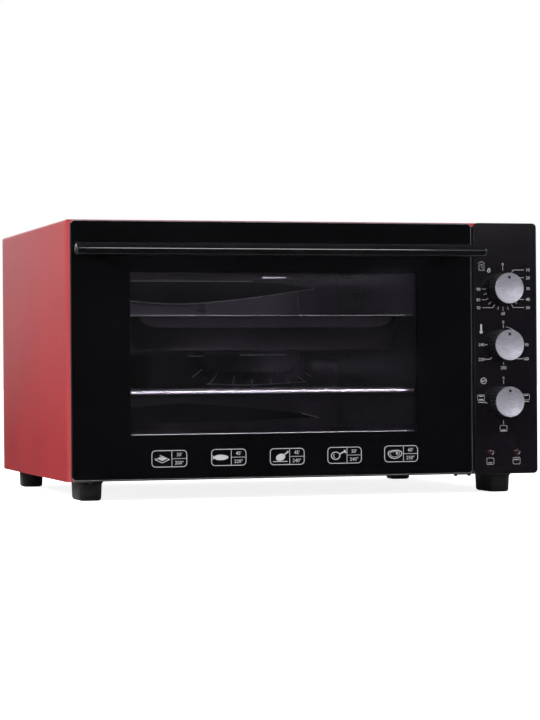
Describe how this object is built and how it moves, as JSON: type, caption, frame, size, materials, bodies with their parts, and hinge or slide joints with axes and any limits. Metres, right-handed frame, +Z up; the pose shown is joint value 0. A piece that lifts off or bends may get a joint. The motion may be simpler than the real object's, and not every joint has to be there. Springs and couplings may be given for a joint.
{
  "type": "mini oven",
  "caption": "Table-top oven with a glass drop-down door, bar handle, control panel with dials beside the door, wire rack, baking tray, tubular heaters and a fan at the back.",
  "frame": {"origin": "on the table, under the middle of the overall box", "axes": "+X to the right as seen from the front, +Y from the door to the back, +Z up"},
  "size_m": [0.566, 0.4874, 0.318],
  "materials": {
    "casing_paint": "satin red powder coat",
    "bare_sheet": "zinc-coated sheet, dull",
    "chamber_enamel": "dark enamel, satin",
    "tray_enamel": "black enamel, glossy",
    "heater_sheath": "oxidised steel tube",
    "ceramic_bush": "off-white, unglazed",
    "bulb_metal": "copper, dull",
    "bright_wire": "bright plated wire",
    "bright_steel": "bright plated steel",
    "fan_aluminium": "pressed sheet",
    "door_glass": "black print on the back, with a dotted window",
    "clear_glass": "clear",
    "panel_glass": "black, glossy",
    "handle_gloss": "glossy black",
    "hinge_black": "black, satin",
    "carrier_plastic": "black",
    "knob_plastic": "black, fine grain",
    "knob_disc": "brushed crosswise, bright rim",
    "control_housing": "brown moulding",
    "lamp_lens": "dark red, clear",
    "foot_plastic": "black, moulded",
    "gland_plastic": "black"
  },
  "bodies": {
    "oven": {"outer_wrap": "casing_paint", "front_frame": "casing_paint", "base_plate": "bare_sheet", "rear_panel": "bare_sheet", "control_partition": "bare_sheet", "motor_bracket": "bare_sheet", "fan_motor": "bare_sheet", "chamber_left_wall": "chamber_enamel", "chamber_right_wall": "chamber_enamel", "chamber_roof": "chamber_enamel", "chamber_floor": "chamber_enamel", "chamber_back": "chamber_enamel", "fan_cover": "chamber_enamel", "baking_tray": "tray_enamel", "heater_upper": "heater_sheath", "heater_lower": "heater_sheath", "heater_bush_upper_front": "ceramic_bush", "heater_bush_upper_rear": "ceramic_bush", "heater_bush_lower_front": "ceramic_bush", "heater_bush_lower_rear": "ceramic_bush", "thermostat_bulb": "bulb_metal", "wire_rack": "bright_wire", "bulb_clip": "bright_steel", "hinge_pin_left": "bright_steel", "hinge_pin_right": "bright_steel", "control_fascia": "panel_glass", "hinge_bracket_left": "hinge_black", "hinge_bracket_right": "hinge_black", "fascia_carrier": "carrier_plastic", "timer_unit": "control_housing", "thermostat_unit": "control_housing", "function_unit": "control_housing", "pilot_lamp_left": "lamp_lens", "pilot_lamp_right": "lamp_lens", "foot_front_left": "foot_plastic", "foot_front_right": "foot_plastic", "foot_rear_left": "foot_plastic", "foot_rear_right": "foot_plastic", "cord_gland": "gland_plastic"},
    "door": {"door_glass": "door_glass", "door_liner": "chamber_enamel", "door_inner_glass": "clear_glass", "handle_bar": "handle_gloss", "handle_bracket_left": "handle_gloss", "handle_bracket_right": "handle_gloss", "handle_screw_left": "bright_steel", "handle_screw_right": "bright_steel", "hinge_leaf_left": "hinge_black", "hinge_leaf_right": "hinge_black"},
    "timer_dial": {"timer_knob": "knob_plastic", "timer_knob_cap": "knob_disc", "timer_shaft": "bright_steel"},
    "thermostat_dial": {"thermostat_knob": "knob_plastic", "thermostat_knob_cap": "knob_disc", "thermostat_shaft": "bright_steel"},
    "function_dial": {"function_knob": "knob_plastic", "function_knob_cap": "knob_disc", "function_shaft": "bright_steel"},
    "fan": {"fan_blade": "fan_aluminium", "fan_shaft": "bright_steel"}
  },
  "joints": [
    {"name": "door_swing", "type": "hinge", "parent": "oven", "child": "door", "pos_m": [0, -0.18718, 0.025], "axis": [1, 0, 0], "range_deg": [0, 82]},
    {"name": "timer_turn", "type": "hinge", "parent": "oven", "child": "timer_dial", "pos_m": [0.2374, -0.20667, 0.24], "axis": [0, 1, 0], "range_deg": [-40, 270]},
    {"name": "thermostat_turn", "type": "hinge", "parent": "oven", "child": "thermostat_dial", "pos_m": [0.2374, -0.19668, 0.1735], "axis": [0, 1, 0], "range_deg": [0, 270]},
    {"name": "function_turn", "type": "hinge", "parent": "oven", "child": "function_dial", "pos_m": [0.2374, -0.19668, 0.107], "axis": [0, 1, 0], "range_deg": [0, 270]},
    {"name": "fan_spin", "type": "hinge", "parent": "oven", "child": "fan", "pos_m": [0.028, -0.19668, 0.205], "axis": [0, 1, 0], "continuous": true}
  ]
}
